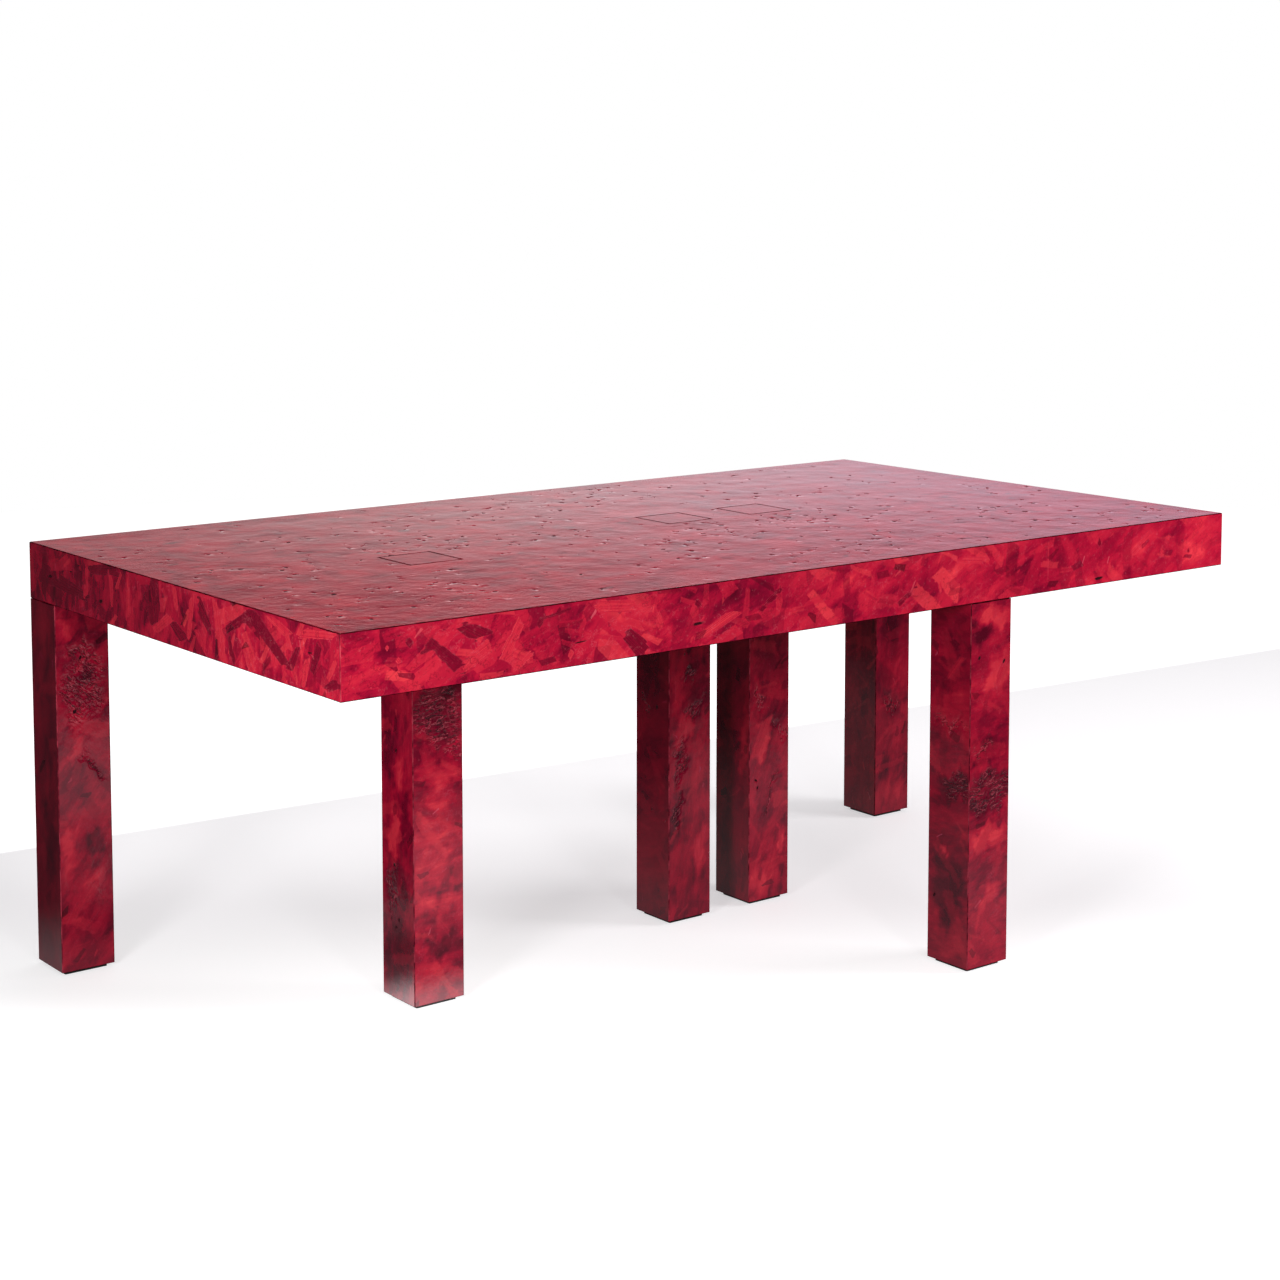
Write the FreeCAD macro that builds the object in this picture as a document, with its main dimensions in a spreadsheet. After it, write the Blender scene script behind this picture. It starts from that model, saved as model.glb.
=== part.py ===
import FreeCAD, Part
import Sketcher
import os
import re

# A dining table made of pressed strand sheet: a thick hollow slab on six square hollow legs.
# Millimetres. X runs along the table from its left end, Y from its front to its back, Z up.
# The origin is on the floor, under the middle of the slab.

SIZES = {
    # the whole table
    "table_length": 1940,
    "table_width": 1060,
    "table_height": 760,
    "slab_thickness": 100,
    "leg_width": 100,
    "sheet_thickness": 15,
    # the space between the middle leg and its twin
    "middle_legs_gap": 96,
    # the open line round a leg that comes through the slab
    "outline_gap": 1.5,
    # the frame inside the slab, and the tenons of the legs that stop under it
    "rib_thickness": 18,
    "socket_wall": 30,
    "socket_clearance": 0.3,
    "tenon_width": 50,
    # the pads under the legs
    "pad_thickness": 6,
    "pad_inset": 10,
    "pad_corner_radius": 3,
    # the screws that hold each leg in its socket
    "socket_screw_radius": 2.5,
    "socket_screw_length": 60,
    "socket_screw_head_radius": 5,
    "socket_screw_head_height": 3,
    "socket_screw_spacing": 30,
    # the screws that hold each pad
    "pad_screw_radius": 2,
    "pad_screw_length": 30,
    "pad_screw_head_radius": 4,
    "pad_screw_head_height": 2,
    "pad_screw_depth": 1.5,
    "pad_screw_spacing": 40,
    # both kinds of screw
    "screw_tip_length": 5,
    "screw_slot_width": 1.2,
    "screw_slot_depth": 1,
    "screw_clearance": 0.15,
    "cut_overrun": 1,
}

# how far each leg stands along the slab from its left end, or across it from its front, as a
# share of the way that a leg can go
PLACE_SHARES = {
    "left_leg_along_share": 0.215,
    "middle_leg_along_share": 0.555,
    "front_leg_along_share": 0.688,
    "middle_leg_across_share": 0.558,
    "right_leg_across_share": 0.881,
}

MITRE_ANGLE = 45
QUARTER_TURN = 90
ALONG_X = FreeCAD.Vector(1, 0, 0)
ALONG_Y = FreeCAD.Vector(0, 1, 0)
ALONG_Z = FreeCAD.Vector(0, 0, 1)

# the outer faces of the slab, and the faces of the hollow inside it
LEFT = "-table_length / 2"
RIGHT = "table_length / 2"
FRONT = "-table_width / 2"
BACK = "table_width / 2"
SLAB_BOTTOM = "(table_height - slab_thickness)"
HOLLOW_LEFT = f"({LEFT} + sheet_thickness)"
HOLLOW_RIGHT = f"({RIGHT} - sheet_thickness)"
HOLLOW_FRONT = f"({FRONT} + sheet_thickness)"
HOLLOW_BACK = f"({BACK} - sheet_thickness)"
HOLLOW_TOP = "(table_height - sheet_thickness)"
HOLLOW_BOTTOM = f"({SLAB_BOTTOM} + sheet_thickness)"
HOLLOW_MIDDLE = "(table_height - slab_thickness / 2)"

ALONG = "(table_length - leg_width)"
ACROSS = "(table_width - leg_width)"
MIDDLE_LEG_LEFT = f"{LEFT} + middle_leg_along_share * {ALONG}"
MIDDLE_LEG_FRONT = f"{FRONT} + middle_leg_across_share * {ACROSS}"

# each leg's left and front face, whether it comes through the slab, and its screws' side
LEGS = {
    "corner_leg": (LEFT, f"{BACK} - leg_width", False, 1),
    "left_leg": (f"{LEFT} + left_leg_along_share * {ALONG}", f"{MIDDLE_LEG_FRONT} - leg_width", True, -1),
    "middle_leg": (MIDDLE_LEG_LEFT, MIDDLE_LEG_FRONT, True, -1),
    "twin_leg": (f"{MIDDLE_LEG_LEFT} + leg_width + middle_legs_gap", MIDDLE_LEG_FRONT, True, 1),
    "right_leg": (f"{RIGHT} - leg_width", f"{FRONT} + right_leg_across_share * {ACROSS}", False, -1),
    "front_leg": (f"{LEFT} + front_leg_along_share * {ALONG}", FRONT, False, -1),
}
NAMED = SIZES | PLACE_SHARES

doc = FreeCAD.newDocument("dining_table")
sheet = doc.addObject("Spreadsheet::Sheet", "Sizes")
for row, (alias, value) in enumerate(NAMED.items(), 1):
    sheet.set(f"A{row}", alias.replace("_", " "))
    sheet.set(f"B{row}", str(value))
    sheet.setAlias(f"B{row}", alias)
doc.recompute()

kept = []


def bound(words):
    """An expression in which each size is named as the sheet's own cell."""
    return re.sub(r"[a-z_]+", lambda name: "Sizes." + name[0] if name[0] in NAMED else name[0], words)


def number(words):
    """What an expression comes to at the sheet's present sizes."""
    return float(sheet.evalExpression(bound(words)))


def bind(feature, **expressions):
    """Tie properties of a feature to the sheet."""
    for name, words in expressions.items():
        feature.setExpression(name, bound(words))


def place(feature, x, y, z, rotation=None):
    """Turn a feature, and tie its place to the sheet."""
    feature.Placement = FreeCAD.Placement(FreeCAD.Vector(), rotation or FreeCAD.Rotation())
    for name, words in zip("xyz", (x, y, z)):
        feature.setExpression(f"Placement.Base.{name}", bound(words))


def turn(axis, angle):
    """A rotation about one axis, in degrees."""
    return FreeCAD.Rotation(axis, angle)


def keep(feature, label):
    """Mark a finished sub-part, which is written under this label."""
    feature.Label = label
    kept.append(feature)
    return feature


def box(label, low, high):
    """A block between two corners, each given by three expressions."""
    block = doc.addObject("Part::Box", label)
    sides = [f"({top}) - ({bottom})" for bottom, top in zip(low, high)]
    bind(block, Length=sides[0], Width=sides[1], Height=sides[2])
    place(block, *low)
    return block


def cylinder(label, radius, bottom, top):
    """A round bar about the Z axis."""
    bar = doc.addObject("Part::Cylinder", label)
    bind(bar, Radius=radius, Height=f"({top}) - ({bottom})")
    place(bar, "0", "0", bottom)
    return bar


def cone(label, bottom_radius, top_radius, bottom, top):
    """A tapering bar about the Z axis."""
    bar = doc.addObject("Part::Cone", label)
    bind(bar, Radius1=bottom_radius, Radius2=top_radius, Height=f"({top}) - ({bottom})")
    place(bar, "0", "0", bottom)
    return bar


def cut(label, base, tool):
    """A shape with another taken out of it."""
    result = doc.addObject("Part::Cut", label)
    result.Base = base
    result.Tool = tool
    return result


def fuse(label, *shapes):
    """Several shapes made one solid."""
    result = doc.addObject("Part::MultiFuse", label)
    result.Shapes = list(shapes)
    return result


def group(label, shapes):
    """Several shapes kept side by side."""
    result = doc.addObject("Part::Compound", label)
    result.Links = list(shapes)
    return result


def copy_at(label, shape, x, y, z, rotation=None):
    """One more copy of a shape, turned and put in its place."""
    result = group(label, [shape])
    place(result, x, y, z, rotation)
    return result


def draw_loop(sketch, corners):
    """A closed outline, with each corner held by two distances that are tied to the sheet."""
    first = sketch.GeometryCount
    points = [FreeCAD.Vector(number(x), number(y)) for x, y in corners]
    for start, end in zip(points, points[1:] + points[:1]):
        sketch.addGeometry(Part.LineSegment(start, end), False)
    for step, (x, y) in enumerate(corners):
        line = first + step
        before = first + (step - 1) % len(corners)
        sketch.addConstraint(Sketcher.Constraint("Coincident", before, 2, line, 1))
        for kind, words in (("DistanceX", x), ("DistanceY", y)):
            index = sketch.addConstraint(Sketcher.Constraint(kind, -1, 1, line, 1, number(words)))
            sketch.setExpression(f"Constraints[{index}]", bound(words))


def outline(body, label, *loops):
    """A sketch of closed outlines on the body's XY plane."""
    sketch = body.newObject("Sketcher::SketchObject", label)
    plane = next(item for item in body.Origin.OriginFeatures if item.Role == "XY_Plane")
    sketch.AttachmentSupport = [(plane, "")]
    sketch.MapMode = "FlatFace"
    for corners in loops:
        draw_loop(sketch, corners)
    return sketch


def rectangle(low_x, low_y, high_x, high_y):
    """The four corners of a rectangle."""
    return [(low_x, low_y), (high_x, low_y), (high_x, high_y), (low_x, high_y)]


def padded(label, corners, height):
    """A body made by padding one outline upwards."""
    body = doc.addObject("PartDesign::Body", label)
    pad = body.newObject("PartDesign::Pad", f"{label}_pad")
    pad.Profile = outline(body, f"{label}_outline", corners)
    bind(pad, Length=height)
    return body, pad


def mitred_board(label, length, width, place_words, rotation, holes=()):
    """A sheet whose outer face is length by width, mitred inwards along all four edges.

    The outer face lies on the body's XY plane, and the body's Z points into the slab."""
    face = rectangle(f"-({length}) / 2", f"-({width}) / 2", f"({length}) / 2", f"({width}) / 2")
    body, pad = padded(label, face, "sheet_thickness")
    pad.TaperAngle = -MITRE_ANGLE
    doc.recompute()
    if holes:
        pocket = body.newObject("PartDesign::Pocket", f"{label}_pocket")
        pocket.Profile = outline(body, f"{label}_holes", *holes)
        pocket.Type = "ThroughAll"
        pocket.Reversed = True
    place(body, *place_words, rotation)
    return keep(body, label)


def square_hole(leg, width, gap, flipped):
    """A leg's square hole in a board, whose own Y runs backwards where the board is flipped."""
    left, front, through, side = leg
    start = f"(leg_width - {width}) / 2 - {gap}"
    span = f"{width} + 2 * {gap}"
    low_x = f"{left} + {start}"
    low_y = f"{front} + {start}"
    high_x = f"{low_x} + {span}"
    high_y = f"{low_y} + {span}"
    if flipped:
        return rectangle(low_x, f"-({high_y})", high_x, f"-({low_y})")
    return rectangle(low_x, low_y, high_x, high_y)


def make_slab_skins():
    """The six outer sheets of the slab. The top shows a line round each leg that comes through."""
    through = [leg for leg in LEGS.values() if leg[2]]
    under = [leg for leg in LEGS.values() if not leg[2]]
    top_holes = [square_hole(leg, "leg_width", "outline_gap", True) for leg in through]
    bottom_holes = [square_hole(leg, "leg_width", "outline_gap", False) for leg in through]
    bottom_holes += [square_hole(leg, "tenon_width", "socket_clearance", False) for leg in under]
    long_side = ("table_length", "slab_thickness")
    short_side = ("slab_thickness", "table_width")
    flat = ("table_length", "table_width")
    half = 2 * QUARTER_TURN
    mitred_board("top_panel", *flat, ("0", "0", "table_height"), turn(ALONG_X, half), top_holes)
    mitred_board("bottom_panel", *flat, ("0", "0", SLAB_BOTTOM), None, bottom_holes)
    mitred_board("front_panel", *long_side, ("0", FRONT, HOLLOW_MIDDLE), turn(ALONG_X, -QUARTER_TURN))
    mitred_board("back_panel", *long_side, ("0", BACK, HOLLOW_MIDDLE), turn(ALONG_X, QUARTER_TURN))
    mitred_board("left_panel", *short_side, (LEFT, "0", HOLLOW_MIDDLE), turn(ALONG_Y, QUARTER_TURN))
    mitred_board("right_panel", *short_side, (RIGHT, "0", HOLLOW_MIDDLE), turn(ALONG_Y, -QUARTER_TURN))


def held_square(leg):
    """What a leg's socket holds: the left and front face, and the width, of leg or tenon."""
    left, front, through, side = leg
    if through:
        return left, front, "leg_width"
    shoulder = "(leg_width - tenon_width) / 2"
    return f"{left} + {shoulder}", f"{front} + {shoulder}", "tenon_width"


def make_ribs():
    """Ribs on edge between the top and bottom sheets, set against the sockets that they brace."""
    reach = "(socket_clearance + socket_wall)"
    left_leg, middle_leg = LEGS["left_leg"], LEGS["middle_leg"]
    near_rib = f"({left_leg[1]} - {reach} - rib_thickness)"
    far_rib = f"({middle_leg[1]} + leg_width + {reach})"
    front_socket_back = f"({FRONT} + (leg_width + tenon_width) / 2 + {reach})"
    right_socket_front = f"({held_square(LEGS['right_leg'])[1]} - {reach})"
    front_rib = f"(({front_socket_back} + {near_rib} - rib_thickness) / 2)"
    back_rib = f"(({far_rib} + {right_socket_front}) / 2)"
    places = {"front_rib": front_rib, "near_rib": near_rib, "far_rib": far_rib, "back_rib": back_rib}
    for label, y in places.items():
        low = (HOLLOW_LEFT, y, HOLLOW_BOTTOM)
        high = (HOLLOW_RIGHT, f"{y} + rib_thickness", HOLLOW_TOP)
        keep(box(label, low, high), label)
    left_socket_right = f"{left_leg[0]} + leg_width + {reach}"
    middle_socket_left = f"{middle_leg[0]} - {reach}"
    twin_socket_right = f"{LEGS['twin_leg'][0]} + leg_width + {reach}"
    spans = {
        "left_cross_rib": (left_socket_right, middle_socket_left),
        "right_cross_rib": (twin_socket_right, HOLLOW_RIGHT),
    }
    for label, (start, end) in spans.items():
        x = f"(({start}) + ({end}) - rib_thickness) / 2"
        low = (x, f"{near_rib} + rib_thickness", HOLLOW_BOTTOM)
        high = (f"{x} + rib_thickness", far_rib, HOLLOW_TOP)
        keep(box(label, low, high), label)


def make_screw(label, name, countersunk):
    """A screw about Z with its tip up, whose head ends at zero or, countersunk, starts there."""
    radius, length = f"{name}_radius", f"{name}_length"
    head_radius, head_height = f"{name}_head_radius", f"{name}_head_height"
    shank = cylinder(f"{label}_shank", radius, "0", f"{length} - screw_tip_length")
    tip = cone(f"{label}_tip", radius, "0", f"{length} - screw_tip_length", length)
    if countersunk:
        head = cone(f"{label}_head", head_radius, radius, "0", head_height)
        face = "0"
    else:
        head = cylinder(f"{label}_head", head_radius, f"-{head_height}", "0")
        face = f"-{head_height}"
    whole = fuse(f"{label}_blank", head, shank, tip)
    low = (f"-{head_radius} / 2", "-screw_slot_width / 2", f"{face} - cut_overrun")
    high = (f"{head_radius} / 2", "screw_slot_width / 2", f"{face} + screw_slot_depth")
    slot = box(f"{label}_slot", low, high)
    low = (low[1], low[0], low[2])
    high = (high[1], high[0], high[2])
    return cut(label, whole, fuse(f"{label}_cross", slot, box(f"{label}_cross_slot", low, high)))


def make_screw_hole(label, name, countersunk):
    """The clear space that a screw needs, from outside the face that it enters to past its tip."""
    wide = f"{name}_radius + screw_clearance"
    hole = cylinder(f"{label}_bore", wide, "-cut_overrun", f"{name}_length + screw_clearance")
    if not countersunk:
        return hole
    wide_head = f"{name}_head_radius + screw_clearance"
    sink = cone(f"{label}_sink", wide_head, wide, "0", f"{name}_head_height")
    mouth = cylinder(f"{label}_mouth", wide_head, "-pad_screw_depth - cut_overrun", "0")
    return fuse(label, hole, sink, mouth)


def make_leg_panel(label, leg, angle, top, holes):
    """One mitred side of a leg, padded up from the leg's foot."""
    left, front, through, side = leg
    half, inner = "leg_width / 2", "(leg_width / 2 - sheet_thickness)"
    corners = [(f"-{half}", f"-{half}"), (half, f"-{half}"), (inner, f"-{inner}"), (f"-{inner}", f"-{inner}")]
    body, pad = padded(label, corners, f"{top} - pad_thickness")
    place(body, f"{left} + {half}", f"{front} + {half}", "pad_thickness", turn(ALONG_Z, angle))
    if holes is None:
        return keep(body, label)
    body.Label = f"{label}_blank"
    return keep(cut(f"{label}_bored", body, holes), label)


def make_pad(label, leg, holes):
    """The flat pad under a leg, set in from the leg's faces, with rounded corners."""
    left, front, through, side = leg
    low = (f"{left} + pad_inset", f"{front} + pad_inset")
    half = "(leg_width / 2 - pad_inset)"
    body, pad = padded(f"{label}_blank", rectangle(f"-{half}", f"-{half}", half, half), "pad_thickness")
    doc.recompute()
    upright = []
    for index, edge in enumerate(pad.Shape.Edges, 1):
        if abs(edge.tangentAt(edge.FirstParameter).z) == 1:
            upright.append(f"Edge{index}")
    corners = body.newObject("PartDesign::Fillet", f"{label}_corners")
    corners.Base = (pad, upright)
    bind(corners, Radius="pad_corner_radius")
    place(body, f"{low[0]} + {half}", f"{low[1]} + {half}", "0")
    return keep(cut(f"{label}_bored", body, holes), label)


def make_leg(name, leg, screws, screw_holes):
    """One leg: four mitred sides round a post, its pad, its socket in the slab and its screws."""
    left, front, through, side = leg
    middle_x, middle_y = f"{left} + leg_width / 2", f"{front} + leg_width / 2"
    top = HOLLOW_TOP if through else SLAB_BOTTOM
    held_left, held_front, held_width = held_square(leg)
    reach = "(socket_clearance + socket_wall)"

    # the screws go in level, through the socket's wall on one side of the leg
    entry = f"{held_left} - {reach}" if side < 0 else f"{held_left} + {held_width} + {reach}"
    level = turn(ALONG_Y, -side * QUARTER_TURN)
    socket_screws, socket_holes, pad_screws, pad_holes = [], [], [], []
    for index, sign in enumerate(("-", "+"), 1):
        y = f"{middle_y} {sign} socket_screw_spacing / 2"
        spot = (entry, y, HOLLOW_MIDDLE, level)
        socket_screws.append(copy_at(f"{name}_screw_{index}", screws["socket"], *spot))
        socket_holes.append(copy_at(f"{name}_hole_{index}", screw_holes["socket"], *spot))
        x = f"{middle_x} {sign} pad_screw_spacing / 2"
        spot = (x, middle_y, "pad_screw_depth")
        pad_screws.append(copy_at(f"{name}_pad_screw_{index}", screws["pad"], *spot))
        pad_holes.append(copy_at(f"{name}_pad_hole_{index}", screw_holes["pad"], *spot))
    level_holes = fuse(f"{name}_level_holes", *socket_holes)
    upright_holes = fuse(f"{name}_upright_holes", *pad_holes)

    for label, angle in (("front", 0), ("right", 1), ("back", 2), ("left", 3)):
        bored = through and label == ("left" if side < 0 else "right")
        holes = level_holes if bored else None
        make_leg_panel(f"{name}_{label}", leg, angle * QUARTER_TURN, top, holes)

    low = (f"{left} + sheet_thickness", f"{front} + sheet_thickness", "pad_thickness")
    high = (f"{left} + leg_width - sheet_thickness", f"{front} + leg_width - sheet_thickness", top)
    post = box(f"{name}_shaft", low, high)
    if not through:
        low = (held_left, held_front, SLAB_BOTTOM)
        high = (f"{held_left} + tenon_width", f"{held_front} + tenon_width", HOLLOW_TOP)
        post = fuse(f"{name}_tenoned", post, box(f"{name}_tenon", low, high))
    all_holes = fuse(f"{name}_all_holes", level_holes, upright_holes)
    keep(cut(f"{name}_bored", post, all_holes), f"{name}_post")

    low = (
        f"max({HOLLOW_LEFT}, {held_left} - {reach})",
        f"max({HOLLOW_FRONT}, {held_front} - {reach})",
        HOLLOW_BOTTOM,
    )
    high = (
        f"min({HOLLOW_RIGHT}, {held_left} + {held_width} + {reach})",
        f"min({HOLLOW_BACK}, {held_front} + {held_width} + {reach})",
        HOLLOW_TOP,
    )
    block = box(f"{name}_block", low, high)
    low = (
        f"{held_left} - socket_clearance",
        f"{held_front} - socket_clearance",
        f"{HOLLOW_BOTTOM} - cut_overrun",
    )
    high = (
        f"{held_left} + {held_width} + socket_clearance",
        f"{held_front} + {held_width} + socket_clearance",
        f"{HOLLOW_TOP} + cut_overrun",
    )
    space = fuse(f"{name}_space", box(f"{name}_mortise", low, high), level_holes)
    keep(cut(f"{name}_ring", block, space), f"{name}_socket")

    if through:
        low = (left, front, HOLLOW_TOP)
        high = (f"{left} + leg_width", f"{front} + leg_width", "table_height")
        keep(box(f"{name}_lid", low, high), f"{name}_cap")

    make_pad(f"{name}_pad", leg, upright_holes)
    return socket_screws, pad_screws


def make_legs():
    """The six legs, and all their screws in two groups."""
    screws = {
        "socket": make_screw("socket_screw", "socket_screw", False),
        "pad": make_screw("pad_screw", "pad_screw", True),
    }
    screw_holes = {
        "socket": make_screw_hole("socket_screw_hole", "socket_screw", False),
        "pad": make_screw_hole("pad_screw_hole", "pad_screw", True),
    }
    socket_screws, pad_screws = [], []
    for name, leg in LEGS.items():
        for_socket, for_pad = make_leg(name, leg, screws, screw_holes)
        socket_screws += for_socket
        pad_screws += for_pad
    keep(group("all_socket_screws", socket_screws), "socket_screws")
    keep(group("all_pad_screws", pad_screws), "pad_screws")


make_slab_skins()
make_ribs()
make_legs()
doc.recompute()

for item in doc.Objects:
    if "Invalid" in item.State or "Error" in item.State:
        raise RuntimeError(f"{item.Label} failed: {item.State}")
for item in kept:
    if item.Shape.isNull() or not item.Shape.isValid():
        raise RuntimeError(f"{item.Label} has no valid shape")

os.makedirs("parts", exist_ok=True)
for item in kept:
    item.Shape.exportStep(f"parts/{item.Label}.step")
    print(f"{item.Label}: {len(item.Shape.Solids)} solid, {item.Shape.Volume:.0f} mm3")
print(f"{len(kept)} sub-parts")
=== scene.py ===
# %% [markdown]
# # A dining table in lacquered strand sheet
# The real table is a thick hollow slab on six square hollow legs, all made of one sheet: large
# strands pressed flat, dyed in many reds and sunk under glossy lacquer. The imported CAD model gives
# every size. This lesson keeps those sizes and remakes each visible board with fine edges, a
# surface that waves a little, chips and creases, and a finish made of nodes.

import math
import random

import bmesh
import bpy
import numpy as np
from mathutils import Matrix, Vector


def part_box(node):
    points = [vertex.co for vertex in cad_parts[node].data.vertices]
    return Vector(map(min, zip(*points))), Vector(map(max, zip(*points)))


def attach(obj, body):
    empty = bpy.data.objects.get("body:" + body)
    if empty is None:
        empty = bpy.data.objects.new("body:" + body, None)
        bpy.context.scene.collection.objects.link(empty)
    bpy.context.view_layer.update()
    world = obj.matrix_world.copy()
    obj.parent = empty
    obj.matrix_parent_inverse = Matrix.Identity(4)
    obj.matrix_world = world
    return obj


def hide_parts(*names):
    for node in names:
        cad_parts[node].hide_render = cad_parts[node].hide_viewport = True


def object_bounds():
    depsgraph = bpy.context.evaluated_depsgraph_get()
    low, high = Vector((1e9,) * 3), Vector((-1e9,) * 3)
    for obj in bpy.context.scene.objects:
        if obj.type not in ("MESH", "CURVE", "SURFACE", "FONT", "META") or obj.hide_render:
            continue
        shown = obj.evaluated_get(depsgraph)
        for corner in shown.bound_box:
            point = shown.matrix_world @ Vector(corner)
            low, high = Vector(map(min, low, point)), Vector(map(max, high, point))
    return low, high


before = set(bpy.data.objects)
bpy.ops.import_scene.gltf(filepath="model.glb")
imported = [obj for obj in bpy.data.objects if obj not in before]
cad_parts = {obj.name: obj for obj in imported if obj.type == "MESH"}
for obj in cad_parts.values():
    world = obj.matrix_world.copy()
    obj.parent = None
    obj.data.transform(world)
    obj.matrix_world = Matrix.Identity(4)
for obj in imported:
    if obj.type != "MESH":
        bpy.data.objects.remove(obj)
cad_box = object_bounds()
print(len(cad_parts), "CAD nodes; the box is", cad_box)

# %% [markdown]
# ## The camera
# The picture was taken from the front left at a little above the table top, with a long lens whose
# vertical lines stay almost upright. A shifted lens does that: the camera looks nearly level and
# the picture is slid down, which is why shift_y is used and not a steeper angle.

# %% Camera
CAMERA_PLACE = (-2.7113, -3.4689, 1.4251)
CAMERA_YAW = 37.79
CAMERA_PITCH = 5.231
LENS = 68.31
SENSOR_WIDTH = 36
LENS_SHIFT = -0.2

lens = bpy.data.cameras.new("camera")
lens.lens = LENS
lens.sensor_width = SENSOR_WIDTH
lens.shift_y = LENS_SHIFT
camera = bpy.data.objects.new("camera", lens)
camera.location = CAMERA_PLACE
camera.rotation_euler = (math.radians(90 - CAMERA_PITCH), 0, math.radians(-CAMERA_YAW))
bpy.context.scene.collection.objects.link(camera)
bpy.context.scene.camera = camera
bpy.context.scene.view_settings.view_transform = "Standard"
print("camera at", CAMERA_PLACE)

# %% [markdown]
# ## Sums with shader sockets
# A material made of nodes is a long sum. Written node by node it is hard to read, so one small
# class wraps a socket and lets Python's own signs add the Math nodes. A second class holds one
# material, or the world, and makes every other node from its type, its settings and its sockets.

# %% Number and Paint
class Number:
    """A shader value that can stand in an ordinary sum."""

    def __init__(self, paint, socket):
        self.paint = paint
        self.socket = socket

    def __add__(self, other):
        return self.paint.maths("ADD", self, other)

    def __sub__(self, other):
        return self.paint.maths("SUBTRACT", self, other)

    def __rsub__(self, other):
        return self.paint.maths("SUBTRACT", other, self)

    def __mul__(self, other):
        return self.paint.maths("MULTIPLY", self, other)

    def __abs__(self):
        return self.paint.maths("ABSOLUTE", self)

    __radd__ = __add__
    __rmul__ = __mul__

    def fraction(self):
        """What is left of the value after its whole part: a second random number from a first."""
        return self.paint.maths("FRACT", self)

    def at_most(self, other):
        return self.paint.maths("MINIMUM", self, other)

    def at_least(self, other):
        return self.paint.maths("MAXIMUM", self, other)

    def above(self, other):
        return self.paint.maths("GREATER_THAN", self, other)

    def rise(self, low, high):
        """A soft step from 0 at low to 1 at high."""
        sockets = {"Value": self, "From Min": low, "From Max": high}
        made = self.paint.node("ShaderNodeMapRange", {"interpolation_type": "SMOOTHSTEP"}, sockets)
        return Number(self.paint, made.outputs["Result"])


class Paint:
    """The nodes of one material, or of the world, and the shader that they feed."""

    def __init__(self, owner, **constants):
        owner.use_nodes = True
        self.owner = owner
        self.tree = owner.node_tree
        self.surface = next(n for n in self.tree.nodes if n.type in ("BSDF_PRINCIPLED", "BACKGROUND"))
        for key, value in constants.items():
            self.surface.inputs[key.replace("_", " ")].default_value = value

    def node(self, kind, settings=None, sockets=None):
        """Any node: its type, its settings, then the values or links of its sockets."""
        made = self.tree.nodes.new(kind)
        for key, value in (settings or {}).items():
            if key == "stops":
                self.fill_ramp(made.color_ramp, value)
            else:
                setattr(made, key, value)
        for key, value in (sockets or {}).items():
            self.feed(made.inputs[key], value)
        return made

    def fill_ramp(self, ramp, stops):
        for extra in stops[2:]:
            ramp.elements.new(extra[0])
        for element, (spot, colour) in zip(ramp.elements, stops):
            element.position = spot
            element.color = (*colour, 1)

    def feed(self, socket, value):
        if isinstance(value, Number):
            value = value.socket
        if isinstance(value, bpy.types.NodeSocket):
            self.tree.links.new(value, socket)
        else:
            socket.default_value = value

    def maths(self, operation, *values):
        made = self.node("ShaderNodeMath", {"operation": operation}, dict(enumerate(values)))
        return Number(self, made.outputs[0])

    def vector(self, operation, *values):
        made = self.node("ShaderNodeVectorMath", {"operation": operation}, dict(enumerate(values)))
        return made.outputs[0]

    def stretch(self, vector, amount):
        sockets = {0: vector, "Scale": amount}
        return self.node("ShaderNodeVectorMath", {"operation": "SCALE"}, sockets).outputs[0]

    def distance(self, first, second):
        made = self.node("ShaderNodeVectorMath", {"operation": "DISTANCE"}, {0: first, 1: second})
        return Number(self, made.outputs["Value"])

    def turn(self, vector, angle):
        """A vector turned about Z."""
        sockets = {"Vector": vector, "Angle": angle}
        return self.node("ShaderNodeVectorRotate", {"rotation_type": "Z_AXIS"}, sockets).outputs[0]

    def parts(self, vector):
        made = self.node("ShaderNodeSeparateXYZ", None, {0: vector})
        return [Number(self, output) for output in made.outputs]

    def mix(self, factor, first, second, blend="MIX"):
        """Two colours mixed: a colour is a socket or three numbers."""
        settings = {"data_type": "RGBA", "blend_type": blend}
        first, second = ((*c, 1) if isinstance(c, tuple) else c for c in (first, second))
        return self.node("ShaderNodeMix", settings, {0: factor, 6: first, 7: second}).outputs[2]

    def ramp(self, factor, stops):
        """A colour from a row of places and colours."""
        return self.node("ShaderNodeValToRGB", {"stops": stops}, {"Fac": factor}).outputs[0]

    def noise(self, place, scale, detail=2.0, roughness=0.5, output="Fac"):
        sockets = {"Vector": place, "Scale": scale, "Detail": detail, "Roughness": roughness}
        return Number(self, self.node("ShaderNodeTexNoise", None, sockets).outputs[output])

    def bump(self, height, strength, distance):
        sockets = {"Strength": strength, "Distance": distance, "Height": height}
        return self.node("ShaderNodeBump", None, sockets).outputs[0]

    def place(self):
        return self.node("ShaderNodeTexCoord").outputs["Object"]

    def stored(self, name):
        """A value that the mesh holds at each vertex."""
        made = self.node("ShaderNodeAttribute", {"attribute_name": name})
        return Number(self, made.outputs["Fac"])

    def ray(self, kind):
        """1 for a camera, glossy or transmission ray, and 0 for any other."""
        return Number(self, self.node("ShaderNodeLightPath").outputs[f"Is {kind} Ray"])

    def finish(self, **links):
        for key, value in links.items():
            self.feed(self.surface.inputs[key.replace("_", " ")], value)
        return self.owner


def new_paint(name, **constants):
    return Paint(bpy.data.materials.new(name), **constants)


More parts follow.
